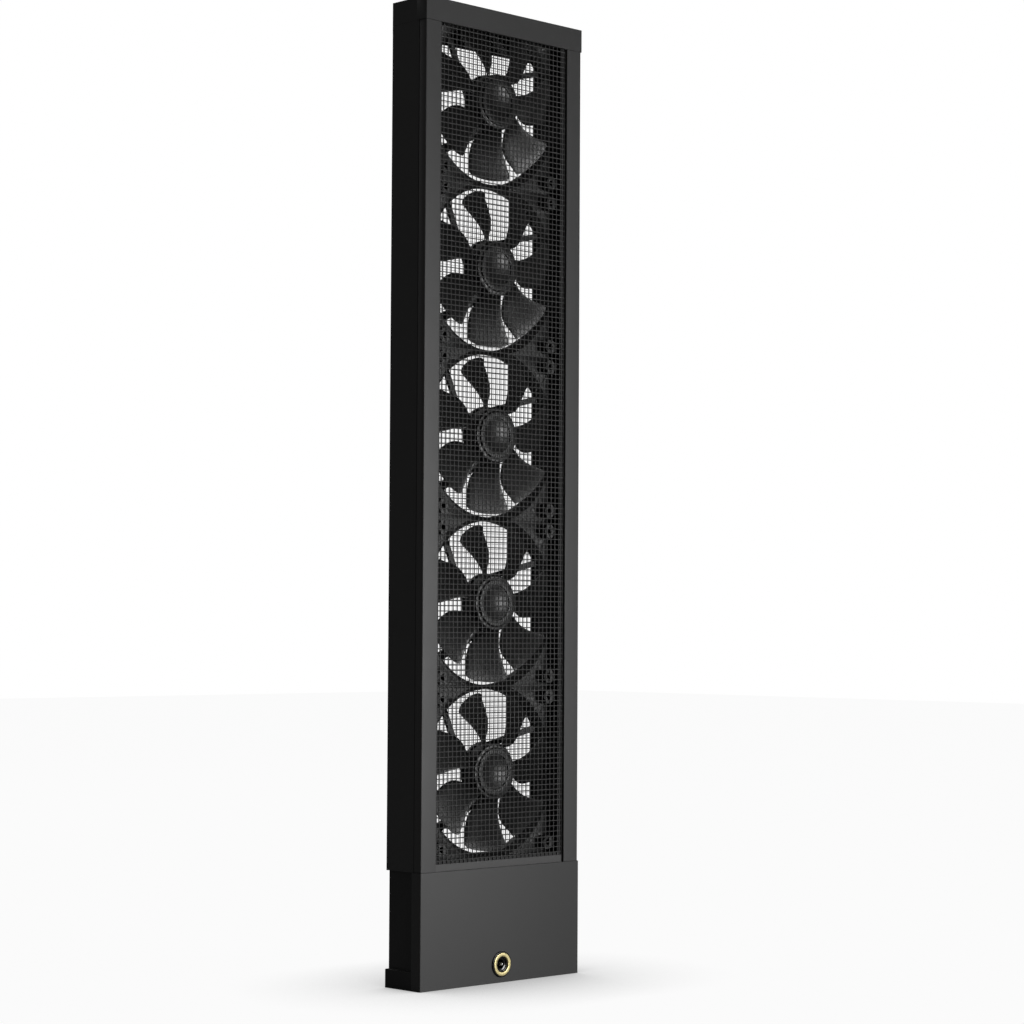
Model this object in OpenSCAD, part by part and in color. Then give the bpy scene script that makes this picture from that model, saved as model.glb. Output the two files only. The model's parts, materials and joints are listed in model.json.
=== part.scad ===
// Slim window fan: a tall slotted box on a small base, with five square fans in a column
// between a fine front net and a fine rear net.
// Millimetres, +Z up, the front faces -Y, the origin is the middle of the underside.
// Depths are measured back from the front face of the base.

/* [Body] */
// Width of the base and of the top cap
body_w = 155.6; // [154:0.2:170]
// Height of the base, up to the lower edge of the openings
base_h = 81.3; // [60:0.1:120]
// Height of the top cap's front, down to the upper edge of the front opening
cap_h = 16.3; // [12:0.1:24]
// Height of the top cap's rear, down to the upper edge of the rear opening
cap_rear_h = 22.1; // [18:0.1:30]
// Thickness of the top cap's roof
roof_t = 3.4; // [2:0.1:6]
// Width of an upright's front face beside the openings
stile_w = 14.3; // [10:0.1:16]
// How far the base and the cap stand out past the uprights
step_out = 0.6; // [0.3:0.1:1]
// Thickness of the base's and the cap's front wall
front_wall = 2.2; // [1.8:0.1:3]
// Thickness of the sheet that the uprights and the back are made of
sheet_t = 1.6; // [1.2:0.1:2]
// Radius of the body's front edges
edge_r = 0.8; // [0.3:0.1:1.2]

/* [Side relief] */
// Depth of the flush front part of the base's sides
base_flush = 9; // [6:0.5:12]
// How far the base's sides are sunk behind the flush part
side_recess = 3.4; // [2:0.1:5]
// Height of the ledge under the sunk sides
ledge_h = 13; // [8:0.5:20]
// Depth of the proud front part of the cap's sides
cap_flush = 10; // [6:0.5:14]
// Depth at which the seam runs down each upright's side
seam_at = 7.2; // [5:0.1:10]
// Width and depth of that seam
seam_w = 0.8; // [0.4:0.1:1.2]

/* [Nets] */
// Thickness of a net and width of its bars
net_t = 0.8; // [0.6:0.1:1.2]
// How far a net reaches behind the uprights
net_grip = 7; // [4:0.5:10]
// Number of gaps across a net
net_cols = 8; // [4:1:8]
// Number of gaps up a net
net_rows = 36; // [12:1:36]
// Free space between the front net and the fans
net_gap = 3; // [2:0.5:6]
// Free space between the straps' screws and the rear net
rear_gap = 10; // [6:0.5:16]

/* [Fans] */
// Side of a fan's square frame
fan_size = 120; // [116:0.5:121]
// Depth of a fan's frame
fan_depth = 15; // [14.5:0.5:20]
// Wall of a fan's ring where it is thinnest
ring_wall = 1.5; // [1.5:0.25:4]
// Distance of a fan's corner holes from its sides
hole_inset = 7.5; // [7.5:0.25:8]
// Bore of a fan's corner holes
hole_d = 4.3; // [4:0.1:5]
// Diameter of the corner posts around the holes
post_d = 10; // [8:0.5:12]
// Depth of the sunk corner plates behind the ring's front edge
plate_sunk = 7; // [3:0.5:8]
// Thickness of the corner plates and of the rear flange
plate_t = 2; // [1.5:0.1:3]
// Radius of a fan's outer corners
corner_r = 4; // [2:0.5:6]
// Width of a strut
strut_w = 4; // [3:0.5:6]
// Diameter of the motor base
motor_base_d = 42; // [38:0.5:46]
// Thickness of the motor base and the struts
motor_base_t = 2.5; // [2:0.5:3]

/* [Rotors] */
// Diameter of the hub
hub_d = 40; // [38:0.5:44]
// Outer diameter of the raised ring on the hub's face
hub_ring_d = 34; // [30:0.5:36]
// Diameter of the hub's sunk centre
hub_dish_d = 22; // [16:0.5:26]
// Wall of the hub
hub_wall = 1.8; // [1.4:0.1:2.4]
// Number of blades
blade_count = 7; // [5:1:7]
// Gap between the blade tips and the ring
tip_gap = 1.9; // [1:0.1:3]
// Thickness of a blade
blade_t = 1.5; // [1:0.1:2]
// Angle of the first blade, clockwise from 3 o'clock
blade_phase = -5; // [-20:1:20]
// Diameter of the shaft
shaft_d = 4; // [3:0.1:5]
// Running gap around the shaft
shaft_play = 0.03; // [0.02:0.01:0.06]
// Outer diameter of the bearing bush
bush_d = 8; // [7:0.1:9]
// Wall of the tube that holds the bush
tube_wall = 1.2; // [1:0.1:1.6]
// Wall of the magnet cup
magnet_t = 2.6; // [2:0.1:3]
// Air gap between the magnet cup and the stator
air_gap = 0.6; // [0.5:0.1:1]

/* [Inner frame] */
// Height of the sill under the lowest fan
sill_h = 6.9; // [4:0.1:12]
// Thickness of the cross straps
strap_t = 1.2; // [1:0.1:2]
// Height of a full cross strap
strap_h = 23; // [20:0.5:30]
// Height of the screw heads behind the straps
head_t = 1.4; // [1.2:0.1:2]
// Diameter of the screw heads
head_d = 7; // [6:0.1:8]
// Thread diameter of the fan screws
screw_d = 4; // [3:0.1:4]
// Grip length of the fan screws
screw_len = 7; // [5:0.5:9]
// Distance of the strap screws from the uprights' sheet
strap_screw_in = 4; // [3.8:0.1:5]
// Length of the strap screws' holes
strap_screw_hole = 6; // [5:0.5:8]
// Distance of the front cap screws from the rails' front
cap_screw_front = 6; // [5:0.5:8]
// Distance of the rear cap screws from the straps
cap_screw_rear = 4; // [3:0.5:6]
// Length of the cap screws' holes in the rails
cap_screw_hole = 8; // [6:0.5:12]

/* [Power inlet] */
// Height of the inlet above the underside
inlet_z = 12.9; // [12:0.1:30]
// Diameter of the black outer collar
collar_d = 18.3; // [16:0.1:22]
// Outer diameter of the brass ring
ring_d = 16.4; // [14:0.1:16.4]
// Inner diameter of the brass ring
ring_bore = 11; // [9:0.1:12]
// How far the ring stands out of the base
ring_out = 1.6; // [1:0.1:3]
// How far the collar stands out of the base
collar_out = 1; // [0.5:0.1:1.5]
// Bore of the plug socket
socket_bore = 6.4; // [5.5:0.1:7]
// Diameter of the centre pin
pin_d = 2.3; // [2:0.1:2.5]
// How far the socket reaches behind the base's front
socket_len = 11; // [9:0.5:14]

/* [Wiring] */
// Diameter of the supply lead
lead_d = 3; // [2:0.1:4]
// Diameter of a fan's branch lead
branch_d = 1.2; // [0.8:0.1:1.4]
// Thickness of the circuit boards
board_t = 1.6; // [1:0.1:2]
// Height of the posts under the power board
board_post_h = 6; // [4:0.5:8]
// Diameter of those posts and of the screw heads on the board
post_w = 5; // [4:0.1:6]
// Thread diameter of the board screws
board_screw_d = 2; // [1.6:0.1:2.5]
// Height of the board screws' heads
board_head_h = 1.6; // [1:0.1:2]
// Gap between the power board and the base's side walls
board_gap = 1.6; // [1:0.1:3]
// Distance of the board's near posts from its free end
post_in = 5; // [4:0.5:10]
// Room on the board's other end, beside the supply lead
lead_room = 16; // [14:0.5:24]
// Distance of the posts from the board's front and rear edges
post_edge = 3; // [3:0.5:6]

/* [Hidden] */
$fn = 64;
eps = 0.01;
fit = 0.05;                                   // slip fit of pieces on one body
play = 0.3;                                   // loose gap around pieces
fans = [0 : 4];
fan_count = 5;

// Depth stack, front to back
net_d = front_wall;
rail_d = net_d + net_t;
fan_d = rail_d + net_gap;
strap_d = fan_d + fan_depth;
head_at = strap_d + strap_t;
rear_net_d = head_at + head_t + rear_gap;
rear_lip_d = rear_net_d + net_t;
body_d = rear_lip_d + sheet_t;
front_y = -(body_d + ring_out) / 2 + ring_out;

// Heights
column_z = base_h + sill_h;
column_top = column_z + fan_count * fan_size;
body_h = column_top + roof_t;
opening_top = body_h - cap_h;
rear_opening_top = body_h - cap_rear_h;
base_roof_t = 2.2;
base_wall = 2;
floor_t = 2;

// Widths, all from the middle
base_half = body_w / 2;
upright_half = base_half - step_out;
inner_half = upright_half - sheet_t;
opening_half = upright_half - stile_w;
opening_w = 2 * opening_half;
fan_half = fan_size / 2;
fan_bore = fan_size - 2 * ring_wall;
hole_pitch = fan_size - 2 * hole_inset;
sunk_half = base_half - side_recess;
base_inner = sunk_half - base_wall;

// Fan depths, from the ring's front edge
hub_front = 0.4;
hub_rear = fan_depth - 4.2;
strut_at = fan_depth - motor_base_t;
fan_board_t = 1;
fan_board_at = strut_at - fan_board_t;
stator_front = 5.2;
stator_rear = 9.4;
tube_front = 4.6;
ring_r = fan_bore / 2;
tip_r = ring_r - tip_gap;
hub_r = hub_d / 2;
cup_r = hub_r - hub_wall - fit;
stator_r = cup_r - magnet_t - air_gap;
tube_r = bush_d / 2 + fit + tube_wall;
shaft_r = shaft_d / 2;
boss_r = 4.5;
shaft_front = hub_front + 1.6;
flange_t = 3;
base_rim = 4;
branch_at = fan_depth - branch_d / 2 - 0.2;
branch_slot = branch_d + 0.4;
branch_end = tube_r + 5;

// Wiring places
lead_x = (fan_half + inner_half) / 2;
lead_depth = strap_d - lead_d / 2 - 0.6;
branch_depth = fan_d + branch_at;
lead_slot = lead_d + 1;
rail_step = (fan_half + lead_x - lead_slot / 2) / 2;
board_z = floor_t + board_post_h;

// ---- places ----

function fan_z(i) = column_z + (i + 0.5) * fan_size;
function joint_z(i) = column_z + i * fan_size;

// A block given by its half width, its depths and its heights
module slab(half, d0, d1, z0, z1) {
  translate([-half, front_y + d0, z0]) cube([2 * half, d1 - d0, z1 - z0]);
}

// A block on one side, from x0 to x1
module block(x0, x1, d0, d1, z0, z1) {
  translate([x0, front_y + d0, z0]) cube([x1 - x0, d1 - d0, z1 - z0]);
}

// A shape drawn as X and depth, raised from z0 to z1
module raised(z0, z1) {
  translate([0, front_y, z0]) linear_extrude(z1 - z0) children();
}

// Children drawn facing forward: their Z runs back from depth d at height z
module facing(x, d, z) {
  translate([x, front_y + d, z]) rotate([-90, 0, 0]) children();
}

module at_fan(i) {
  facing(0, fan_d, fan_z(i)) children();
}

module left_side() {
  mirror([1, 0, 0]) children();
}

module tube(r_out, r_in, from, to) {
  translate([0, 0, from]) difference() {
    cylinder(r = r_out, h = to - from);
    translate([0, 0, -eps]) cylinder(r = r_in, h = to - from + 2 * eps);
  }
}

// Rectangle in X and depth whose two front corners are rounded
module soft_front(half, d0, d1) {
  translate([-half + edge_r, d0]) square([2 * (half - edge_r), d1 - d0]);
  translate([-half, d0 + edge_r]) square([2 * half, d1 - d0 - edge_r]);
  for (side = [-1, 1]) translate([side * (half - edge_r), d0 + edge_r]) circle(r = edge_r);
}

// A square with rounded corners
module soft_square(side, r) {
  square([side - 2 * r, side], center = true);
  square([side, side - 2 * r], center = true);
  for (x = [-1, 1], y = [-1, 1]) translate([x, y] * (side / 2 - r)) circle(r = r);
}

// ---- base ----

module base_front_cover() {
  color("#4b4b4d") difference() {
    raised(0, base_h) soft_front(base_half, 0, base_flush);
    slab(base_inner, front_wall, base_flush + eps, -eps, base_h - base_roof_t);
    facing(0, -eps, inlet_z) cylinder(d = ring_bore + 4, h = front_wall + 2 * eps);
  }
}

module base_rear_shell() {
  color("#1e1e20") difference() {
    union() {
      slab(base_half, base_flush, body_d, 0, ledge_h);
      slab(sunk_half, base_flush, body_d, 0, base_h);
    }
    slab(base_inner, base_flush - eps, body_d - base_wall, -eps, base_h - base_roof_t);
    translate([lead_x, front_y + lead_depth, 0]) cylinder(d = lead_slot, h = base_h + eps);
  }
}

// Places of the posts under the power board
board_half = base_inner - board_gap;
board_front = socket_len + 1;
board_rear = body_d - base_wall - 2;
post_xs = [-board_half + post_in, board_half - lead_room];
post_ds = [board_front + post_edge, board_rear - post_edge];

// Children at the four posts, from the underside up
module board_posts() {
  for (x = post_xs, d = post_ds) translate([x, front_y + d, 0]) children();
}

module base_floor() {
  color("#1e1e20") difference() {
    union() {
      slab(base_inner, front_wall, body_d - base_wall, 0, floor_t);
      board_posts() translate([0, 0, floor_t - eps]) cylinder(d = post_w, h = board_post_h + eps);
    }
    board_posts() translate([0, 0, floor_t]) cylinder(d = board_screw_d + 2 * fit, h = board_post_h + eps);
  }
}

module board_screws() {
  color("silver") board_posts() {
    translate([0, 0, floor_t + 1]) cylinder(d = board_screw_d, h = board_post_h + board_t - 1 + eps);
    translate([0, 0, board_z + board_t]) cylinder(d = post_w, h = board_head_h);
  }
}

// ---- box frame ----

module top_cap() {
  color("#3c3c3e") difference() {
    union() {
      raised(opening_top, body_h) soft_front(base_half, 0, cap_flush);
      slab(upright_half, cap_flush, body_d, opening_top, body_h);
      slab(upright_half, rear_lip_d, body_d, rear_opening_top, opening_top + eps);
    }
    slab(inner_half, front_wall, rear_lip_d, opening_top - eps, column_top);
    cap_screw_places() cylinder(d = screw_d, h = roof_t + 2 * eps);
  }
}

// Screw holes through the roof into the fan rails
module cap_screw_places() {
  for (side = [-1, 1], d = [rail_d + cap_screw_front, strap_d - cap_screw_rear])
    translate([side * lead_x, front_y + d, column_top - eps]) children();
}

module cap_screws() {
  color("#2a2a2a") cap_screw_places() translate([0, 0, eps]) cylinder(d = screw_d - 2 * fit, h = roof_t);
}

module upright() {
  difference() {
    raised(base_h, opening_top) difference() {
      translate([opening_half, step_out]) square([upright_half - opening_half - edge_r, body_d - step_out]);
      translate([opening_half - eps, front_wall])
        square([inner_half - opening_half + eps, rear_lip_d - front_wall]);
    }
    block(opening_half - eps, upright_half + eps, rear_lip_d, body_d + eps, rear_opening_top, body_h);
  }
  difference() {
    raised(base_h, opening_top) {
      translate([inner_half, step_out + edge_r]) square([sheet_t, rear_lip_d - step_out - edge_r]);
      translate([upright_half - edge_r, step_out + edge_r]) circle(r = edge_r);
    }
    block(upright_half - seam_w / 2, upright_half + eps, seam_at, seam_at + seam_w, base_h - eps, body_h);
  }
  block(upright_half - edge_r - eps, upright_half, rear_lip_d - eps, body_d, base_h, rear_opening_top);
}

module right_upright() {
  color("#424244") upright();
}

module left_upright() {
  color("#424244") left_side() upright();
}

// Rail between the fans and an upright, cut for the strap ends
module fan_rail() {
  difference() {
    raised(column_z, column_top) {
      translate([fan_half, rail_d]) square([inner_half - fan_half, strap_d - 1 - rail_d]);
      translate([rail_step, strap_d - 1 - eps])
        square([inner_half - rail_step, rear_net_d - strap_d + 1 + eps]);
    }
    straps(inner_half + eps, rear_net_d + eps);
    for (i = [0 : fan_count]) strap_screw_places(i) cylinder(d = screw_d - 1, h = strap_screw_hole);
    for (d = [rail_d + cap_screw_front, strap_d - cap_screw_rear])
      translate([lead_x, front_y + d, column_top - cap_screw_hole])
        cylinder(d = screw_d - 1, h = cap_screw_hole + eps);
  }
}

module left_fan_rail() {
  color("#19191a") left_side() fan_rail();
}

// The right rail also holds the supply lead and lets a branch out to each fan
module right_fan_rail() {
  color("#19191a") difference() {
    fan_rail();
    block(lead_x - lead_slot / 2, lead_x + lead_slot / 2, lead_depth - lead_slot / 2, rear_net_d + eps,
          column_z - eps, fan_z(fan_count - 1) + lead_slot);
    for (i = fans)
      block(fan_half - eps, lead_x, branch_depth - branch_slot, branch_depth + branch_slot,
            fan_z(i) - branch_slot, fan_z(i) + branch_slot);
  }
}

module fan_sill() {
  color("#19191a") difference() {
    slab(inner_half, rail_d, rear_net_d, base_h, column_z);
    translate([lead_x, front_y + lead_depth, base_h - eps]) cylinder(d = lead_slot, h = sill_h + 2 * eps);
  }
}

// The flat space of every strap, back to a given depth
module straps(half, rear) {
  for (i = [0 : fan_count])
    slab(half, strap_d, rear, max(joint_z(i) - strap_h / 2, column_z),
         min(joint_z(i) + strap_h / 2, column_top));
}

// Ends of a strap: the screws stand off the lead's slot
module strap_screw_places(i) {
  inward = i == 0 ? strap_h / 4 : i == fan_count ? -strap_h / 4 : 0;
  for (side = [-1, 1])
    facing(side * (inner_half - strap_screw_in), strap_d - strap_screw_hole, joint_z(i) + inward) children();
}

// Flat straps that carry the fans' corners and follow the rings' bores
module cross_straps() {
  color("#8d8f92") difference() {
    straps(inner_half - fit, head_at);
    for (i = fans) {
      corner_places(i) cylinder(d = hole_d, h = body_d);
      at_fan(i) cylinder(d = fan_bore, h = body_d);
    }
    for (i = [0 : fan_count]) strap_screw_places(i) cylinder(d = screw_d, h = body_d);
  }
}

// The four corner holes of a fan, with Z running back from the fan's front
module corner_places(i) {
  at_fan(i) for (x = [-1, 1], y = [-1, 1]) translate([x, y, 0] * hole_pitch / 2) children();
}

// Pan-head screw with its tip forward
module screw(reach, thread) {
  cylinder(d = thread, h = reach + eps);
  translate([0, 0, reach]) cylinder(d = head_d, h = head_t);
}

module fan_screws() {
  color("silver") for (i = fans) corner_places(i)
    translate([0, 0, fan_depth + strap_t - screw_len]) screw(screw_len, screw_d);
}

module strap_screws() {
  color("silver") for (i = [0 : fan_count]) strap_screw_places(i)
    translate([0, 0, 1]) screw(strap_screw_hole - 1 + strap_t, screw_d - 1 - 2 * fit);
}

// ---- nets ----

module net(depth, top) {
  half = opening_half + net_grip;
  low = base_h;
  cell_w = (opening_w - net_t) / net_cols;
  cell_h = (opening_top - base_h - net_t) / net_rows;
  facing(0, depth, 0) linear_extrude(net_t) difference() {
    translate([-half, -top]) square([2 * half, top - low]);
    for (c = [0 : net_cols - 1], r = [0 : net_rows - 1])
      translate([-opening_half + net_t + c * cell_w, -base_h - (r + 1) * cell_h])
        square([cell_w - net_t, cell_h - net_t]);
  }
}

module front_net() {
  color("#3a3a3c") net(net_d, column_top - play);
}

module rear_net() {
  color("#3a3a3c") net(rear_net_d, column_top - play);
}

// ---- fan ----

// Groove along the back of the right strut for the branch lead
module branch_groove() {
  translate([branch_end, -branch_slot / 2, fan_depth - branch_slot])
    cube([fan_size, branch_slot, branch_slot + eps]);
}

module fan_frame(i) {
  color("#2b2b2d") at_fan(i) {
    difference() {
      union() {
        intersection() {
          cylinder(d = fan_bore + 6, h = fan_depth);
          translate([0, 0, fan_depth / 2]) cube([fan_size, fan_size, fan_depth], center = true);
        }
        translate([0, 0, plate_sunk]) linear_extrude(plate_t) soft_square(fan_size, corner_r);
        translate([0, 0, fan_depth - flange_t]) linear_extrude(flange_t) soft_square(fan_size, corner_r);
        for (x = [-1, 1], y = [-1, 1])
          translate([x, y, 0] * hole_pitch / 2) cylinder(d = post_d, h = fan_depth);
      }
      translate([0, 0, -eps]) cylinder(r = ring_r, h = fan_depth + 2 * eps);
      for (x = [-1, 1], y = [-1, 1]) translate([x * hole_pitch / 2, y * hole_pitch / 2, -eps])
        cylinder(d = hole_d, h = fan_depth + 2 * eps);
      branch_groove();
    }
    difference() {
      union() {
        translate([0, 0, strut_at]) cylinder(d = motor_base_d, h = motor_base_t);
        for (a = [0 : 90 : 270]) rotate(a) translate([motor_base_d / 2 - 2, -strut_w / 2, strut_at])
          cube([ring_r - motor_base_d / 2 + 2.5, strut_w, motor_base_t]);
      }
      translate([0, 0, fan_depth - 0.6]) cylinder(d = motor_base_d - 2 * base_rim, h = 1);
      branch_groove();
      translate([branch_end + branch_d, 0, strut_at - eps])
        cylinder(d = branch_slot, h = motor_base_t + 2 * eps);
    }
    tube(tube_r, bush_d / 2 + fit, tube_front, strut_at + eps);
    tube(tube_r + 1.2, tube_r - eps, stator_rear, strut_at + eps);
  }
}

// Blade section in tangent and depth: a curved strip that slopes back
blade_chord = 46;
blade_front = -0.1;
blade_rise = 12.8;
blade_camber = 0.9;
blade_steps = 10;
function section_at(s) =
  [(s - 0.5) * blade_chord, blade_front + blade_rise * s + 4 * blade_camber * s * (1 - s)];
blade_section = concat(
  [for (k = [0 : blade_steps]) section_at(k / blade_steps)],
  [for (k = [blade_steps : -1 : 0]) section_at(k / blade_steps) + [0, -blade_t]]
);

// Blade outline seen from the front: narrow root, wide swept tip with bowed edges
root_half = 4.8;
tip_half = 17.8;
blade_sweep = 1.5;
outline_steps = 8;
function outline_u(s) = hub_r - 1.5 + (tip_r - hub_r + 4) * s;
function outline_mid(s) = blade_sweep * s * s;
function outline_half(s) = root_half + (tip_half - root_half) * s;
blade_outline = concat(
  [for (k = [0 : outline_steps]) let (s = k / outline_steps)
    [outline_u(s), outline_mid(s) - outline_half(s)]],
  [for (k = [outline_steps : -1 : 0]) let (s = k / outline_steps)
    [outline_u(s), outline_mid(s) + outline_half(s)]]
);

module blade() {
  intersection() {
    rotate([90, 0, 90]) linear_extrude(tip_r + 1) polygon(blade_section);
    linear_extrude(fan_depth) polygon(blade_outline);
    tube(tip_r, hub_r - 1, 0, fan_depth);
  }
}

// The hub cup turned about its axis: dished centre, raised ring, rounded shoulder
hub_profile = [
  [0, hub_front + 0.8], [hub_dish_d / 2, hub_front + 0.8], [hub_dish_d / 2 + 0.6, hub_front],
  [hub_ring_d / 2 - 0.6, hub_front], [hub_ring_d / 2, hub_front + 0.9], [hub_r - 1, hub_front + 1.1],
  [hub_r - 0.3, hub_front + 1.5], [hub_r, hub_front + 2.2], [hub_r, hub_rear],
  [hub_r - hub_wall, hub_rear], [hub_r - hub_wall, hub_front + 2.8], [boss_r, hub_front + 2.8],
  [boss_r, tube_front - 0.4], [shaft_r + fit / 2, tube_front - 0.4], [shaft_r + fit / 2, shaft_front - fit],
  [0, shaft_front - fit]
];

module impeller(i) {
  color("#3f4043") at_fan(i) {
    rotate_extrude() polygon(hub_profile);
    for (k = [0 : blade_count - 1]) rotate(blade_phase + k * 360 / blade_count) blade();
  }
}

module magnet_cup(i) {
  color("#6b6d70") at_fan(i) {
    tube(cup_r, cup_r - magnet_t, hub_front + 2.9, stator_rear);
    tube(cup_r - magnet_t + eps, boss_r + fit, hub_front + 2.9, hub_front + 3.9);
  }
}

module shaft(i) {
  color("silver") at_fan(i) translate([0, 0, shaft_front])
    cylinder(r = shaft_r, h = strut_at - play - shaft_front);
}

module bush(i) {
  color("#b08d57") at_fan(i) tube(bush_d / 2, shaft_r + shaft_play, tube_front + 0.2, strut_at - 0.1);
}

module stator(i) {
  color("#8a5a33") at_fan(i) difference() {
    tube(stator_r, tube_r + fit, stator_front, stator_rear);
    for (a = [45 : 90 : 315]) rotate(a) translate([8, -1.2, stator_front - eps])
      cube([stator_r, 2.4, stator_rear - stator_front + 2 * eps]);
  }
}

module fan_board(i) {
  color("#1f5a35") at_fan(i) tube(cup_r - 1, tube_r + 1.2 + play, fan_board_at, strut_at);
}

// ---- inlet ----

module at_inlet() {
  facing(0, 0, inlet_z) children();
}

module inlet_collar() {
  color("#101010") at_inlet() tube(collar_d / 2, ring_d / 2 + fit, -collar_out, 0);
}

module inlet_ring() {
  color("#f0d98a") at_inlet() {
    tube(ring_d / 2, ring_bore / 2, -ring_out, 0);
    tube(ring_bore / 2 + 1.95, ring_bore / 2, -eps, front_wall + 4);
  }
}

module inlet_nut() {
  color("#c9a94e") at_inlet() difference() {
    translate([0, 0, front_wall]) rotate(30) cylinder(d = ring_bore + 8, h = 2.4, $fn = 6);
    translate([0, 0, front_wall - eps]) cylinder(r = ring_bore / 2 + 1.95 + fit, h = 3);
  }
}

module inlet_socket() {
  color("#0c0c0c") {
    at_inlet() difference() {
      translate([0, 0, -0.4]) cylinder(r = ring_bore / 2 - fit, h = socket_len + 0.4);
      translate([0, 0, -1]) cylinder(d = socket_bore, h = socket_len - 1);
      translate([0, 0, -1]) cylinder(d = pin_d + 2 * fit, h = socket_len + 2);
    }
    block(-3, 3, socket_len - 1, socket_len + 4, board_z + board_t, inlet_z - pin_d / 2 - 0.4);
  }
}

module inlet_pin() {
  color("silver") at_inlet() {
    cylinder(d = pin_d, h = socket_len + 1);
    translate([0, 0, 0]) sphere(d = pin_d);
  }
}

module power_board() {
  color("#1f5a35") difference() {
    slab(board_half, board_front, board_rear, board_z, board_z + board_t);
    board_posts() translate([0, 0, board_z - eps])
      cylinder(d = board_screw_d + 2 * fit, h = board_t + 2 * eps);
  }
}

module supply_lead() {
  color("#151515") {
    translate([lead_x, front_y + lead_depth, board_z + board_t])
      cylinder(d = lead_d, h = fan_z(fan_count - 1) + lead_d / 2 - board_z - board_t);
    for (i = fans) {
      translate([branch_end, front_y + branch_depth, fan_z(i)]) rotate([0, 90, 0])
        cylinder(d = branch_d, h = lead_x - branch_end);
      at_fan(i) translate([branch_end + branch_d, -branch_d / 4, strut_at + eps])
        cube([branch_d / 2, branch_d / 2, branch_at - strut_at]);
    }
  }
}

// ---- the model ----

base_front_cover();
base_rear_shell();
base_floor();
top_cap();
left_upright();
right_upright();
left_fan_rail();
right_fan_rail();
fan_sill();
cross_straps();
front_net();
rear_net();
fan_screws();
strap_screws();
cap_screws();
board_screws();
inlet_collar();
inlet_ring();
inlet_socket();
inlet_pin();
inlet_nut();
power_board();
supply_lead();
for (i = fans) {
  name = str("fan_", i + 1, "_");
  fan_frame(i);
  impeller(i);
  magnet_cup(i);
  shaft(i);
  bush(i);
  stator(i);
  fan_board(i);
}
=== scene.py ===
"""Looks of the slim window fan: fine nets, moulded shells, five seven-bladed rotors and the power inlet.

Everything is in metres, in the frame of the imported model: +Z up, the front faces -Y.
"""

import json
import logging
import math
from dataclasses import dataclass
from enum import Enum
from typing import Any, Iterable, Sequence

import bmesh
import bpy
from mathutils import Matrix, Vector


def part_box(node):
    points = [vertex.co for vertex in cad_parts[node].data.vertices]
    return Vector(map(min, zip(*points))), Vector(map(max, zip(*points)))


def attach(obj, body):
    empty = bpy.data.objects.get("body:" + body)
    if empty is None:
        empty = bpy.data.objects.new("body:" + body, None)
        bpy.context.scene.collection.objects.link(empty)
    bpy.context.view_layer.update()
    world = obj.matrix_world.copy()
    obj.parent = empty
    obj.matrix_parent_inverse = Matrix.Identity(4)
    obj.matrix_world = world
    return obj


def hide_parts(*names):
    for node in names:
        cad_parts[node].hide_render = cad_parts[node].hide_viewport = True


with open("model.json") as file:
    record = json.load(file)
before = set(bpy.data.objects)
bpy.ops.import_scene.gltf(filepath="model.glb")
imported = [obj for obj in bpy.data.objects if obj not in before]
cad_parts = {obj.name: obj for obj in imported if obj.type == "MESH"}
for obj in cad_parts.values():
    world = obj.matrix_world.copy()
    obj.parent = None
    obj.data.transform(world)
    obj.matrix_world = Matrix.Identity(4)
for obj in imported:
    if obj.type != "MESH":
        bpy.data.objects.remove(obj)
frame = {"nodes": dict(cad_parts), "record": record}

LOG = logging.getLogger("window_fan")
MM = 0.001
FAN_COUNT = 5
REAR_WIRE = 0.14 * MM
UPRIGHT_EDGE = 0.35 * MM
STRAP_THREAD = 1.45 * MM
WELD = 0.002 * MM
WHITE = (1.0, 1.0, 1.0, 1.0)

# Places of the colour sockets on a Mix node.
MIX_COLOUR_A, MIX_COLOUR_B, MIX_COLOUR_OUT = 6, 7, 2

# The noises behind the finishes, and how the fine pattern joins the broad mottle.
BROAD_NOISE = {"Scale": 28.0, "Detail": 4.0, "Roughness": 0.6}
SPARK_NOISE = {"Detail": 3.0, "Roughness": 0.55}
BRUSH_NOISE = {"Detail": 5.0}
BRUSH_STRETCH = (0.03, 1.0, 1.0)
TURNED_NOISE = {"Detail": 4.0}
COIL_WAVER = 0.6
WAVE_FACTOR = 20  # a Wave node multiplies its scale by this
FINE_SHARE = 0.6
MOTTLE_MIDDLE = 0.8
COAT_ROUGHNESS = 0.15
DUST_LEVEL, DUST_WARMTH = 120, 0.03

Point = tuple[float, float, float]
Colour = tuple[float, float, float]
Outline = list[tuple[float, float]]


def srgb(level: float) -> float:
    """Linear value of an 8-bit display level."""
    share = level / 255
    return share / 12.92 if share <= 0.04045 else ((share + 0.055) / 1.055) ** 2.4


def grey(level: float, warmth: float = 0.0) -> Colour:
    """A neutral colour.

    Args:
        level: its 8-bit display level.
        warmth: how far red is raised over blue, as a share.

    Returns:
        The colour as linear red, green and blue.
    """
    base = srgb(level)
    return (base * (1 + warmth), base, base * (1 - warmth))


# ---------------------------------------------------------------- shader and node helpers


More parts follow.
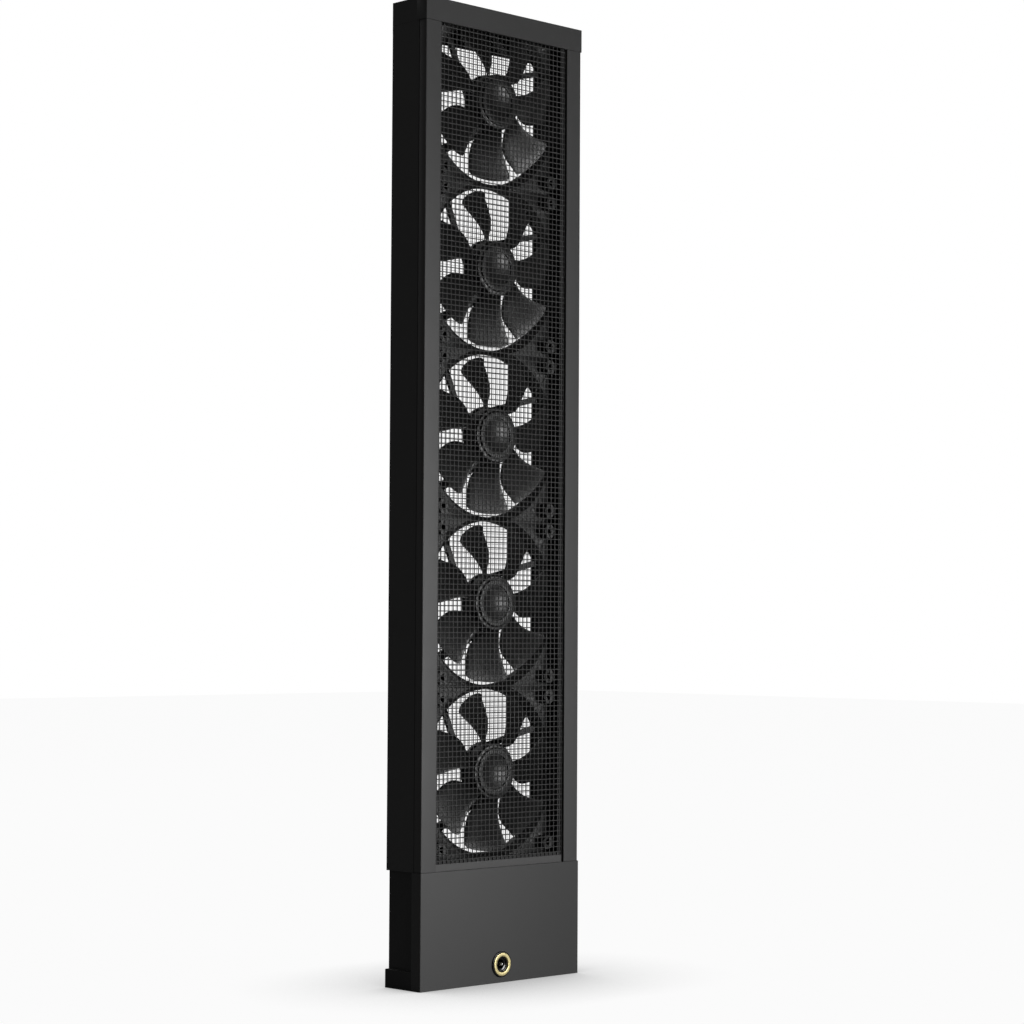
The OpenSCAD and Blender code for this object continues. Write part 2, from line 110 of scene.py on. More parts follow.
class Graph:
    """A node tree that is filled in from Python."""

    def __init__(self, tree: bpy.types.NodeTree) -> None:
        """Wrap a tree."""
        self.tree = tree

    def node(self, kind: str, settings: dict[str, Any] | None = None,
             sockets: dict[Any, Any] | None = None) -> bpy.types.Node:
        """Add a node.

        Args:
            kind: the node's type name.
            settings: its own properties, set before its sockets.
            sockets: input name or index to a constant, a socket, or a Value.

        Returns:
            The new node.
        """
        made = self.tree.nodes.new(kind)
        for name, value in (settings or {}).items():
            setattr(made, name, value)
        for key, value in (sockets or {}).items():
            self.feed(made.inputs[key], value)
        return made

    def feed(self, target: bpy.types.NodeSocket, value: Any) -> None:
        """Link a socket or a Value into an input, or set the input's constant.

        Args:
            target: the input.
            value: a constant, a socket, or a Value.
        """
        if isinstance(value, Value):
            value = value.socket
        if isinstance(value, bpy.types.NodeSocket):
            self.tree.links.new(value, target)
        else:
            target.default_value = value

    def value(self, socket: bpy.types.NodeSocket) -> "Value":
        """A socket that can stand in a sum."""
        return Value(self, socket)


class Value:
    """A number socket that can be added and multiplied in Python."""

    def __init__(self, graph: Graph, socket: bpy.types.NodeSocket) -> None:
        """Wrap a socket of a graph."""
        self.graph = graph
        self.socket = socket

    def _math(self, operation: str, left: Any, right: Any) -> "Value":
        """The Math node of an operation on two terms."""
        made = self.graph.node("ShaderNodeMath", {"operation": operation}, {0: left, 1: right})
        return Value(self.graph, made.outputs[0])

    def __add__(self, other: Any) -> "Value":
        """self + other."""
        return self._math("ADD", self, other)

    __radd__ = __add__

    def __mul__(self, other: Any) -> "Value":
        """self * other."""
        return self._math("MULTIPLY", self, other)

    __rmul__ = __mul__


def emptied(owner: bpy.types.Material | bpy.types.World) -> Graph:
    """Empty the node tree of a material or a world.

    Args:
        owner: the material or the world.

    Returns:
        Its tree, ready to be filled.
    """
    owner.use_nodes = True
    owner.node_tree.nodes.clear()
    return Graph(owner.node_tree)


# ---------------------------------------------------------------- finishes


class Grain(Enum):
    """The pattern that a finish's surface carries."""

    SPARK = "spark eroded mould texture"
    BRUSH = "short drawn lines from side to side"
    TURNED = "long machined lines from side to side"
    COIL = "wound wire"


@dataclass(frozen=True)
class Finish:
    """One surface finish of the fan, with lengths in metres and the rest as shares."""

    slot: str
    colour: Colour
    roughness: float
    grain: Grain = Grain.SPARK
    grain_size: float = 0.35 * MM
    relief: float = 0.02 * MM
    mottle: float = 0.10
    gloss_spread: float = 0.08
    metallic: float = 0.0
    coat: float = 0.0
    dust: float = 0.0

    def build(self) -> bpy.types.Material:
        """Make the material.

        Returns:
            A material named after the slot.
        """
        made = bpy.data.materials.new(self.slot)
        graph = emptied(made)
        place = graph.node("ShaderNodeTexCoord").outputs["Object"]
        fine = self._pattern(graph, place)
        broad = graph.value(graph.node("ShaderNodeTexNoise", None, {"Vector": place, **BROAD_NOISE}).outputs[0])
        shade = broad * self.mottle + fine * (self.mottle * FINE_SHARE) + (1 - self.mottle * MOTTLE_MIDDLE)
        tint = graph.node("ShaderNodeVectorMath", {"operation": "SCALE"}, {0: self.colour})
        graph.feed(tint.inputs["Scale"], shade)
        colour = tint.outputs[0]
        if self.dust:
            colour = self._dusted(graph, colour, broad)
        bump = graph.node("ShaderNodeBump", None, {
            "Strength": 1.0, "Distance": self.relief, "Height": fine})
        spread = self.gloss_spread
        shader = graph.node("ShaderNodeBsdfPrincipled", None, {
            "Base Color": colour, "Roughness": broad * spread + fine * spread + (self.roughness - spread),
            "Metallic": self.metallic, "Coat Weight": self.coat, "Coat Roughness": COAT_ROUGHNESS,
            "Normal": bump.outputs[0]})
        graph.node("ShaderNodeOutputMaterial", None, {"Surface": shader.outputs[0]})
        return made

    def _pattern(self, graph: Graph, place: bpy.types.NodeSocket) -> Value:
        """The fine pattern of the finish's grain.

        Args:
            graph: the material's tree.
            place: the Object coordinates.

        Returns:
            A number from 0 to 1.
        """
        scale = 1 / self.grain_size
        if self.grain is Grain.SPARK:
            return graph.value(graph.node("ShaderNodeTexNoise", None, {
                "Vector": place, "Scale": scale, **SPARK_NOISE}).outputs[0])
        if self.grain is Grain.BRUSH:
            stretched = graph.node("ShaderNodeMapping", {"vector_type": "POINT"}, {
                "Vector": place, "Scale": BRUSH_STRETCH}).outputs[0]
            return graph.value(graph.node("ShaderNodeTexNoise", None, {
                "Vector": stretched, "Scale": scale, **BRUSH_NOISE}).outputs[0])
        if self.grain is Grain.COIL:
            return graph.value(graph.node("ShaderNodeTexWave", {"bands_direction": "Y"}, {
                "Vector": place, "Scale": scale / WAVE_FACTOR, "Distortion": COIL_WAVER}).outputs[1])
        axes = graph.node("ShaderNodeSeparateXYZ", None, {0: place})
        flat = graph.node("ShaderNodeCombineXYZ", None, {
            0: axes.outputs[1], 1: axes.outputs[1], 2: axes.outputs[2]})
        return graph.value(graph.node("ShaderNodeTexNoise", None, {
            "Vector": flat.outputs[0], "Scale": scale, **TURNED_NOISE}).outputs[0])

    def _dusted(self, graph: Graph, colour: bpy.types.NodeSocket, broad: Value) -> bpy.types.NodeSocket:
        """Lay a thin grey dust over a colour, thicker in patches.

        Args:
            graph: the material's tree.
            colour: the clean colour.
            broad: the broad mottle that makes the patches.

        Returns:
            The dusted colour.
        """
        return graph.node("ShaderNodeMix", {"data_type": "RGBA"}, {
            0: broad * self.dust, MIX_COLOUR_A: colour,
            MIX_COLOUR_B: (*grey(DUST_LEVEL, DUST_WARMTH), 1.0)}).outputs[MIX_COLOUR_OUT]


FINISHES: tuple[Finish, ...] = (
    Finish("body_grey", grey(58), 0.45, relief=0.010 * MM, mottle=0.06),
    # Painted shade: body_dark is the body plastic made darker, for the shaded side of the base's rear shell.
    Finish("body_dark", grey(20), 0.5, relief=0.012 * MM, mottle=0.08),
    Finish("inner_black", grey(14), 0.6, mottle=0.15),
    Finish("strap_steel", grey(140, 0.01), 0.34, Grain.BRUSH, 0.4 * MM, metallic=0.9),
    Finish("net_wire", grey(66), 0.42, grain_size=0.2 * MM, relief=0.01 * MM, mottle=0.12, dust=0.08),
    Finish("screw_steel", grey(170, 0.01), 0.3, Grain.TURNED, 0.3 * MM, metallic=0.95),
    Finish("screw_black", grey(40), 0.4, Grain.TURNED, 0.3 * MM, metallic=0.4),
    Finish("inlet_black", grey(20), 0.22, relief=0.004 * MM, coat=0.3),
    Finish("brass_ring", (1.0, 0.86, 0.44), 0.3, Grain.TURNED, 0.3 * MM, relief=0.006 * MM, metallic=0.75),
    Finish("pin_metal", grey(232), 0.14, Grain.TURNED, 0.3 * MM, relief=0.003 * MM, metallic=0.8),
    Finish("board_green", (0.012, 0.10, 0.045), 0.35, mottle=0.2, coat=0.4),
    Finish("lead_black", grey(30), 0.62, mottle=0.12),
    Finish("fan_black", grey(14), 0.42, relief=0.015 * MM, mottle=0.12, dust=0.05),
    Finish("blade_grey", grey(14), 0.36, relief=0.010 * MM, mottle=0.10, dust=0.05),
    Finish("magnet_steel", grey(110), 0.45, Grain.TURNED, 0.4 * MM, metallic=0.6),
    Finish("shaft_steel", grey(200), 0.2, Grain.TURNED, 0.2 * MM, metallic=0.95),
    Finish("bush_bronze", (0.42, 0.27, 0.11), 0.4, mottle=0.25, metallic=0.8),
    Finish("stator_copper", (0.36, 0.13, 0.05), 0.35, Grain.COIL, 0.4 * MM, relief=0.1 * MM,
           metallic=0.5, coat=0.5),
)


class Finishes:
    """The fan's materials, made once and found by slot."""

    def __init__(self) -> None:
        """Build every finish."""
        self.made = {finish.slot: finish.build() for finish in FINISHES}

    def __getitem__(self, slot: str) -> bpy.types.Material:
        """The material of a slot."""
        return self.made[slot]

    def dress_frame(self, nodes: dict[str, bpy.types.Object], subparts: Iterable[dict[str, str]]) -> None:
        """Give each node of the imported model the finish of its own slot.

        Args:
            nodes: the model's objects by node.
            subparts: the record's rows, with each node's slot.
        """
        for part in subparts:
            mesh = nodes[part["node"]].data
            mesh.materials.clear()
            mesh.materials.append(self[part["material_slot"]])


# ---------------------------------------------------------------- mesh helpers


def new_object(name: str, mesh: bpy.types.Mesh, material: bpy.types.Material | None = None) -> bpy.types.Object:
    """Link an object for a mesh.

    Args:
        name: the object's name.
        mesh: its mesh, already in place.
        material: the finish to give it, if the mesh has none.

    Returns:
        The object, at the origin.
    """
    made = bpy.data.objects.new(name, mesh)
    bpy.context.scene.collection.objects.link(made)
    if material:
        mesh.materials.clear()
        mesh.materials.append(material)
    return made


def settle(source: bpy.types.Object, name: str) -> bpy.types.Object:
    """Turn an object and its modifiers into a plain mesh object and drop the source.

    Args:
        source: the object with its modifiers.
        name: the plain object's name.

    Returns:
        The plain object.
    """
    graph = bpy.context.evaluated_depsgraph_get()
    mesh = bpy.data.meshes.new_from_object(source.evaluated_get(graph))
    source.modifiers.clear()
    bpy.data.objects.remove(source)
    mesh.name = name
    return new_object(name, mesh)


def smooth(mesh: bpy.types.Mesh, angle: float = 32.0) -> None:
    """Shade a mesh smooth, with sharp edges above an angle in degrees."""
    mesh.polygons.foreach_set("use_smooth", [True] * len(mesh.polygons))
    mesh.set_sharp_from_angle(angle=math.radians(angle))


def cut_away(piece: bpy.types.Object, cutter: bpy.types.Object) -> None:
    """Add a modifier that takes the cutter's form out of a piece.

    Args:
        piece: the piece.
        cutter: the closed form, which stays until the piece is settled.
    """
    cut = piece.modifiers.new("cut", "BOOLEAN")
    cut.operation = "DIFFERENCE"
    cut.solver = "EXACT"
    cut.object = cutter


def lathe(name: str, profile: Outline, centre: Sequence[float], steps: int = 96) -> bpy.types.Mesh:
    """Turn a closed outline about the front-to-back axis.

    Args:
        name: the mesh's name.
        profile: radius and depth pairs in metres; a radius of 0 is on the axis.
        centre: the point that radius 0 and depth 0 stand for.
        steps: faces round the axis.

    Returns:
        A closed mesh with its faces out.
    """
    made = bmesh.new()
    rings = []
    for radius, depth in profile:
        turns = [math.tau * k / steps for k in range(1 if radius == 0 else steps)]
        rings.append([made.verts.new((centre[0] + radius * math.cos(turn), centre[1] + depth,
                                      centre[2] + radius * math.sin(turn))) for turn in turns])
    on_axis = profile[0][0] == 0
    pairs = list(zip(rings, rings[1:])) + ([] if on_axis else [(rings[-1], rings[0])])
    for near, far in pairs:
        for k in range(steps):
            after = k + 1
            corners = (near[k % len(near)], near[after % len(near)], far[after % len(far)], far[k % len(far)])
            unique = list(dict.fromkeys(corners))
            if len(unique) > 2:
                made.faces.new(unique)
    bmesh.ops.recalc_face_normals(made, faces=made.faces)
    mesh = closed_off(made, name)
    smooth(mesh)
    return mesh


def arc(centre: tuple[float, float], radius: float, start: float, end: float, steps: int = 6) -> Outline:
    """Points of an arc in a lathe profile, from start to end in degrees."""
    turns = [math.radians(start + (end - start) * k / steps) for k in range(steps + 1)]
    return [(centre[0] + radius * math.cos(turn), centre[1] + radius * math.sin(turn)) for turn in turns]


def closed_off(made: bmesh.types.BMesh, name: str) -> bpy.types.Mesh:
    """Turn a mesh that is being built into a finished one.

    Args:
        made: the mesh being built, which is freed.
        name: the finished mesh's name.

    Returns:
        The finished mesh.
    """
    mesh = bpy.data.meshes.new(name)
    made.to_mesh(mesh)
    made.free()
    return mesh


def add_box(made: bmesh.types.BMesh, low: Point, high: Point) -> list[bmesh.types.BMVert]:
    """Add a closed box to a mesh that is being built.

    Args:
        made: the mesh.
        low: the box's lowest corner.
        high: its highest corner.

    Returns:
        The box's corners.
    """
    size = Vector(high) - Vector(low)
    middle = (Vector(high) + Vector(low)) / 2
    return bmesh.ops.create_cube(made, size=1.0, matrix=Matrix.LocRotScale(middle, None, size))["verts"]


class Builder:
    """A Geometry Nodes tree with named inputs, run once on a carrier object."""

    def __init__(self, name: str) -> None:
        """Start an empty tree with a geometry input and output.

        Args:
            name: the tree's name.
        """
        self.tree = bpy.data.node_groups.new(name, "GeometryNodeTree")
        self.graph = Graph(self.tree)
        self.values: dict[str, Any] = {}
        self.tree.interface.new_socket(name="Geometry", in_out="INPUT", socket_type="NodeSocketGeometry")
        self.tree.interface.new_socket(name="Geometry", in_out="OUTPUT", socket_type="NodeSocketGeometry")
        self.group_in = self.graph.node("NodeGroupInput")

    def size(self, name: str, value: float | int) -> bpy.types.NodeSocket:
        """Add a named input.

        Args:
            name: the input's name.
            value: its value, where a whole number makes it a count.

        Returns:
            The socket that holds it inside the tree.
        """
        kind = "NodeSocketInt" if isinstance(value, int) else "NodeSocketFloat"
        socket = self.tree.interface.new_socket(name=name, in_out="INPUT", socket_type=kind)
        self.values[socket.identifier] = value
        return self.group_in.outputs[name]

    def run(self, name: str, result: bpy.types.NodeSocket, material: bpy.types.Material,
            carrier: bpy.types.Mesh | None = None) -> bpy.types.Object:
        """Finish the tree, run it and keep the plain mesh.

        Args:
            name: name of the finished object.
            result: the geometry that the tree has made.
            material: the finish that Set Material lays on it.
            carrier: mesh that the tree starts from.

        Returns:
            A plain mesh object.
        """
        real = self.graph.node("GeometryNodeRealizeInstances", None, {0: result})
        dressed = self.graph.node("GeometryNodeSetMaterial", None, {
            "Geometry": real.outputs[0], "Material": material})
        self.graph.node("NodeGroupOutput", None, {0: dressed.outputs[0]})
        source = new_object(name + "_source", carrier or bpy.data.meshes.new(name + "_carrier"))
        modifier = source.modifiers.new("build", "NODES")
        modifier.node_group = self.tree
        for identifier, value in self.values.items():
            modifier[identifier] = value
        made = settle(source, name)
        made.data.materials.clear()
        made.data.materials.append(material)
        made.data.polygons.foreach_set("material_index", [0] * len(made.data.polygons))
        return made


# ---------------------------------------------------------------- the sub-assemblies


@dataclass
class WireNet:
    """A fine net: upright wires and level wires fused where they cross, in a folded border."""

    node: str
    pitch_x: float = 4.02 * MM
    pitch_z: float = 3.77 * MM
    wire: float = 0.38 * MM
    border: float = 5.0 * MM
    sides: int = 8
    crease: float = 50.0

    def build(self, finishes: Finishes) -> bpy.types.Object:
        """Make the net in the space of its own node.

        Args:
            finishes: the fan's materials.

        Returns:
            The net, riding on the frame in place of the plain one.
        """
        low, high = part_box(self.node)
        made = self._wires(low, high, finishes["net_wire"])
        self._add_border(made.data, low, high)
        smooth(made.data, self.crease)
        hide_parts(self.node)
        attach(made, "root")
        return made

    def _wires(self, low: Vector, high: Vector, material: bpy.types.Material) -> bpy.types.Object:
        """The two layers of wires.

        Args:
            low: the node's lowest corner.
            high: its highest corner.
            material: the wires' finish.

        Returns:
            The wires as one plain mesh object.
        """
        builder = Builder(self.node + "_wires")
        graph = builder.graph
        depth = (low.y + high.y) / 2
        radius = builder.size("Wire radius", self.wire)
        layers = []
        spans = (("Upright", (low.x, high.x), (low.z, high.z), self.pitch_x, False),
                 ("Level", (low.z, high.z), (low.x, high.x), self.pitch_z, True))
        for label, across, along, pitch, level in spans:
            count = int((across[1] - across[0] - self.border) / pitch) + 1
            start = (across[0] + across[1]) / 2 - pitch * (count - 1) / 2
            middle = (along[0] + along[1]) / 2
            length = along[1] - along[0] - self.border
            wire = graph.node("GeometryNodeMeshCylinder", None, {
                "Vertices": self.sides, "Radius": radius, "Depth": builder.size(label + " length", length)})
            origin = (middle, depth, start) if level else (start, depth, middle)
            step = graph.node("ShaderNodeCombineXYZ", None, {
                2 if level else 0: builder.size(label + " pitch", pitch)})
            line = graph.node("GeometryNodeMeshLine", {"mode": "OFFSET"}, {
                "Count": builder.size(label + " count", count), "Start Location": origin,
                "Offset": step.outputs[0]})
            turn = (0.0, math.pi / 2, 0.0) if level else (0.0, 0.0, 0.0)
            copies = graph.node("GeometryNodeInstanceOnPoints", None, {
                "Points": line.outputs[0], "Instance": wire.outputs[0], "Rotation": turn})
            layers.append(copies.outputs[0])
        joined = graph.node("GeometryNodeJoinGeometry")
        for layer in layers:
            graph.feed(joined.inputs[0], layer)
        return builder.run(self.node + "_mesh", joined.outputs[0], material)

    def _add_border(self, mesh: bpy.types.Mesh, low: Vector, high: Vector) -> None:
        """Lay flat strips round the wires' ends.

        Args:
            mesh: the wires' mesh, which takes the strips.
            low: the node's lowest corner.
            high: its highest corner.
        """
        made = bmesh.new()
        made.from_mesh(mesh)
        inner = (low.x + self.border, high.x - self.border)
        strips = ((low.x, inner[0], low.z, high.z), (inner[1], high.x, low.z, high.z),
                  (*inner, low.z, low.z + self.border), (*inner, high.z - self.border, high.z))
        for x0, x1, z0, z1 in strips:
            add_box(made, (x0, low.y, z0), (x1, high.y, z1))
        made.to_mesh(mesh)
        made.free()


@dataclass(frozen=True)
class BladeEdge:
    """One edge of a blade: its angle and its depth along the blade, as sums in the reach."""

    angles: tuple[float, float, float, float]
    depths: tuple[float, float, float]

    def angle(self, reach: float) -> float:
        """Angle in radians, clockwise from the blade's own direction, at a reach from 0 to 1."""
        return sum(share * reach ** power for power, share in enumerate(self.angles))

    def depth(self, reach: float) -> float:
        """Depth in metres behind the ring's front face at a reach from 0 to 1."""
        return self.depths[0] + self.depths[1] * reach + self.depths[2] * reach * (1 - reach)


@dataclass
class Rotor:
    """A seven-bladed rotor: twisted blades with swept edges on a dished hub with a raised ring."""

    number: int
    blade_count: int = 7
    hub_radius: float = 20 * MM
    ring_radius: float = 17 * MM
    dish_radius: float = 11.6 * MM
    dish_depth: float = 1.3 * MM
    hub_front: float = 0.4 * MM
    dish_round: float = 0.8 * MM
    ring_inset: float = 1.2 * MM
    bead: float = 0.8 * MM
    shoulder_start: tuple[float, float] = (0.0, 1.3 * MM)
    shoulder_end: tuple[float, float] = (0.5 * MM, 1.5 * MM)
    shoulder: float = 1.4 * MM
    wall: float = 1.8 * MM
    front_edge: BladeEdge = BladeEdge((-0.384, 0.413, -0.998, 0.511), (0.8 * MM, 1.8 * MM, 2.2 * MM))
    back_edge: BladeEdge = BladeEdge((-0.07, 1.9, -3.1, 1.42), (7.4 * MM, 4.2 * MM, 7.6 * MM))
    blade_wall: float = 1.4 * MM
    wall_shares: tuple[float, float] = (1.1, -0.35)
    nose_power: float = 3.2
    camber: float = 0.5 * MM
    root_sink: float = 1.2 * MM
    corner: float = 1.8 * MM
    corner_power: int = 7
    across: int = 14
    along: int = 18
    crease: float = 38.0

    def build(self, finishes: Finishes) -> bpy.types.Object:
        """Make the rotor's moulding in the space of its own node.

        Args:
            finishes: the fan's materials.

        Returns:
            The moulding, riding on its rotor.
        """
        node = f"fan_{self.number}_impeller"
        low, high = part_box(node)
        frame_low, frame_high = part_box(f"fan_{self.number}_frame")
        centre = (0.0, frame_low.y, (frame_low.z + frame_high.z) / 2)
        tip = (high.z - low.z) / 2
        hub_back = high.y - frame_low.y
        made = self._blades(node, centre, tip, finishes["blade_grey"])
        hub = lathe(node + "_hub", self._hub_profile(hub_back), centre)
        joined = bmesh.new()
        joined.from_mesh(made.data)
        joined.from_mesh(hub)
        joined.to_mesh(made.data)
        joined.free()
        smooth(made.data, self.crease)
        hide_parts(node)
        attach(made, f"rotor_{self.number}")
        return made

    def _hub_profile(self, back: float) -> Outline:
        """Outline of the hub: dished centre, raised ring, rounded shoulder, hollow back.

        Args:
            back: depth of the hub's open back.

        Returns:
            Radius and depth pairs.
        """
        front, bead, inner = self.hub_front, self.bead, self.hub_radius - self.wall
        floor = front + 2 * self.shoulder
        step = (self.shoulder_start, self.shoulder_end)
        return [(0.0, front + self.dish_depth), (self.dish_radius - self.dish_round, front + self.dish_depth),
                (self.dish_radius, front + bead),
                *arc((self.dish_radius + self.ring_inset, front + bead), bead, 180, 270, 5),
                *arc((self.ring_radius - bead, front + bead), bead, 270, 360, 5),
                *((self.ring_radius + out, front + deep) for out, deep in step),
                *arc((self.hub_radius - self.shoulder, floor), self.shoulder, 270, 360, 6),
                (self.hub_radius, back), (inner, back), (inner, floor), (0.0, floor)]

    def _blade_point(self, reach: float, side: float, skin: float, tip: float) -> Point:
        """A point of the blade that points to 3 o'clock, about the hub's centre.

        Args:
            reach: 0 at the root to 1 at the tip.
            side: -1 at the leading edge to 1 at the trailing edge.
            skin: -1 on the front skin, 1 on the back skin.
            tip: the tip's radius.

        Returns:
            Place in metres.
        """
        root = self.hub_radius - self.root_sink
        radius = root + (tip - self.corner * abs(side) ** self.corner_power - root) * reach
        share = (side + 1) / 2
        turn = self.front_edge.angle(reach) * (1 - share) + self.back_edge.angle(reach) * share
        depth = self.front_edge.depth(reach) * (1 - share) + self.back_edge.depth(reach) * share
        taper = self.wall_shares[0] + self.wall_shares[1] * reach
        wall = self.blade_wall * taper * math.sqrt(max(0.0, 1 - abs(side) ** self.nose_power))
        depth += self.camber * (1 - side ** 2) + skin * wall / 2
        return (radius * math.cos(turn), depth, -radius * math.sin(turn))

    def _blade_mesh(self, tip: float) -> bpy.types.Mesh:
        """One closed blade about the origin.

        Args:
            tip: the tip's radius.

        Returns:
            The blade's mesh, with its faces out.
        """
        made = bmesh.new()
        skins = []
        for skin in (-1, 1):
            rows = []
            for i in range(self.along + 1):
                row = []
                for j in range(self.across + 1):
                    side = math.sin(math.pi * (j / self.across - 0.5))
                    shared = skin == 1 and j in (0, self.across)
                    row.append(skins[0][i][j] if shared else made.verts.new(
                        self._blade_point(i / self.along, side, skin, tip)))
                rows.append(row)
            skins.append(rows)
        for rows in skins:
            for i in range(self.along):
                for j in range(self.across):
                    made.faces.new((rows[i][j], rows[i][j + 1], rows[i + 1][j + 1], rows[i + 1][j]))
        for i in (0, self.along):
            for j in range(self.across):
                ends = [skins[0][i][j], skins[0][i][j + 1], skins[1][i][j + 1], skins[1][i][j]]
                unique = list(dict.fromkeys(ends))
                if len(unique) > 2:
                    made.faces.new(unique)
        bmesh.ops.recalc_face_normals(made, faces=made.faces)
        return closed_off(made, "blade")

    def _blades(self, node: str, centre: Point, tip: float, material: bpy.types.Material) -> bpy.types.Object:
        """The blades, set round the axis by a node tree.

        Args:
            node: the rotor's node.
            centre: the middle of the hub's front.
            tip: the tips' radius.
            material: the blades' finish.

        Returns:
            The blades as one plain mesh object.
        """
        builder = Builder(node + "_blades")
        graph = builder.graph
        count = builder.size("Blades", self.blade_count)
        line = graph.node("GeometryNodeMeshLine", {"mode": "OFFSET"}, {
            "Count": count, "Start Location": centre, "Offset": (0.0, 0.0, 0.0)})
        index = graph.value(graph.node("GeometryNodeInputIndex").outputs[0])
        step = builder.size("Blade step", math.tau / self.blade_count)
        turn = graph.node("ShaderNodeCombineXYZ", None, {1: index * step})
        copies = graph.node("GeometryNodeInstanceOnPoints", None, {
            "Points": line.outputs[0], "Instance": builder.group_in.outputs["Geometry"],
            "Rotation": turn.outputs[0]})
        return builder.run(node + "_moulding", copies.outputs[0], material, self._blade_mesh(tip))


@dataclass
class SoftEdges:
    """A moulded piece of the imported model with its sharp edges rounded, as a mould leaves them."""

    node: str
    slot: str
    body: str = "root"
    radius: float = 0.5 * MM
    steps: int = 2
    flat_within: float = 1.0
    crease: float = 30.0
    round_from: float = 40.0

    def build(self, finishes: Finishes) -> bpy.types.Object:
        """Copy the node's mesh and round its edges.

        Args:
            finishes: the fan's materials.

        Returns:
            The rounded piece, in place of the node.
        """
        piece = self.shape(finishes)
        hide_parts(self.node)
        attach(piece, self.body)
        return piece

    def shape(self, finishes: Finishes) -> bpy.types.Object:
        """The rounded copy alone.

        Args:
            finishes: the fan's materials.

        Returns:
            A mesh object that rides on nothing yet.
        """
        made = bmesh.new()
        made.from_mesh(frame["nodes"][self.node].data)
        bmesh.ops.remove_doubles(made, verts=made.verts, dist=WELD)
        bmesh.ops.dissolve_limit(made, angle_limit=math.radians(self.flat_within), verts=made.verts,
                                 edges=made.edges)
        mesh = closed_off(made, self.node + "_soft")
        smooth(mesh, self.crease)
        source = new_object(self.node + "_source", mesh, finishes[self.slot])
        bevel = source.modifiers.new("edges", "BEVEL")
        bevel.width = self.radius
        bevel.segments = self.steps
        bevel.limit_method = "ANGLE"
        bevel.angle_limit = math.radians(self.round_from)
        bevel.use_clamp_overlap = True
        bevel.harden_normals = True
        return settle(source, self.node + "_moulding")


@dataclass
class FlaredFrames:
    """The fans' square frames: a wide flared mouth that runs out over the sides, and slanted struts."""

    throat_radius: float = 58.5 * MM
    mouth_radius: float = 70.0 * MM
    throat_depth: float = 11.0 * MM
    edge_radius: float = 0.3 * MM
    motor_base: float = 21.0 * MM
    strut_seat: float = 19.0 * MM
    strut_depths: tuple[float, float] = (12.5 * MM, 15.0 * MM)
    struts: tuple[tuple[float, float], ...] = ((30, 4 * MM), (131, 4 * MM), (221, 6 * MM), (315, 4 * MM))
    plain_struts: tuple[float, ...] = (90, 180, 270)
    plain_half: float = 4.0 * MM
    motor_gap: float = 0.1 * MM
    mouth_steps: int = 128
    crease: float = 30.0

    def build(self, finishes: Finishes) -> list[bpy.types.Object]:
        """Shape the first frame and set the same form at each fan.

        Args:
            finishes: the fan's materials.

        Returns:
            One frame for each fan.
        """
        first = "fan_1_frame"
        low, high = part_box(first)
        blank = SoftEdges(first, "fan_black", radius=self.edge_radius).shape(finishes)
        mouth = [(0.0, -MM), (self.mouth_radius, -MM), (self.mouth_radius, 0.0),
                 (self.throat_radius, self.throat_depth), (0.0, self.throat_depth)]
        centre = Vector((0.0, low.y, (low.z + high.z) / 2))
        cutters = [new_object("mouth_cutter", lathe("mouth", mouth, centre, self.mouth_steps)),
                   new_object("strut_cutter", self._plain_struts(centre))]
        for cutter in cutters:
            cut_away(blank, cutter)
        shaped = settle(blank, first + "_shaped")
        for cutter in cutters:
            bpy.data.objects.remove(cutter)
        self._add_struts(shaped.data, centre)
        smooth(shaped.data, self.crease)
        made = []
        for number in range(1, FAN_COUNT + 1):
            node = f"fan_{number}_frame"
            mesh = shaped.data.copy()
            mesh.transform(Matrix.Translation((0.0, 0.0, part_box(node)[0].z - low.z)))
            piece = new_object(node + "_moulding", mesh, finishes["fan_black"])
            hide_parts(node)
            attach(piece, "root")
            made.append(piece)
        bpy.data.objects.remove(shaped)
        return made

    def _plain_struts(self, centre: Vector) -> bpy.types.Mesh:
        """Boxes round the plain struts, between the motor base and the bore.

        Args:
            centre: the middle of the fan's front.

        Returns:
            The boxes as one mesh.
        """
        made = bmesh.new()
        front, back = self.strut_depths
        start = self.motor_base + self.motor_gap
        for angle in self.plain_struts:
            corners = add_box(made, (start, front - MM, -self.plain_half),
                              (self.throat_radius, back + MM, self.plain_half))
            turn = Matrix.Rotation(-math.radians(angle), 4, "Y")
            bmesh.ops.transform(made, matrix=Matrix.Translation(centre) @ turn, verts=corners)
        return closed_off(made, "plain_struts")

    def _add_struts(self, mesh: bpy.types.Mesh, centre: Vector) -> None:
        """Add the slanted struts, each from beside the motor's middle to the bore.

        Args:
            mesh: the frame's mesh.
            centre: the middle of the fan's front.
        """
        made = bmesh.new()
        made.from_mesh(mesh)
        front, back = self.strut_depths
        reach = self.throat_radius + MM
        for angle, width in self.struts:
            seat = self.strut_seat - width / 2
            length = math.sqrt(reach ** 2 - seat ** 2)
            corners = add_box(made, (0.0, front, -width / 2), (length, back, width / 2))
            lean = math.radians(angle) - math.asin(seat / reach)
            place = Matrix.Translation(centre) @ Matrix.Rotation(-lean, 4, "Y")
            bmesh.ops.transform(made, matrix=place @ Matrix.Translation((0.0, 0.0, seat)), verts=corners)
        made.to_mesh(mesh)
        made.free()


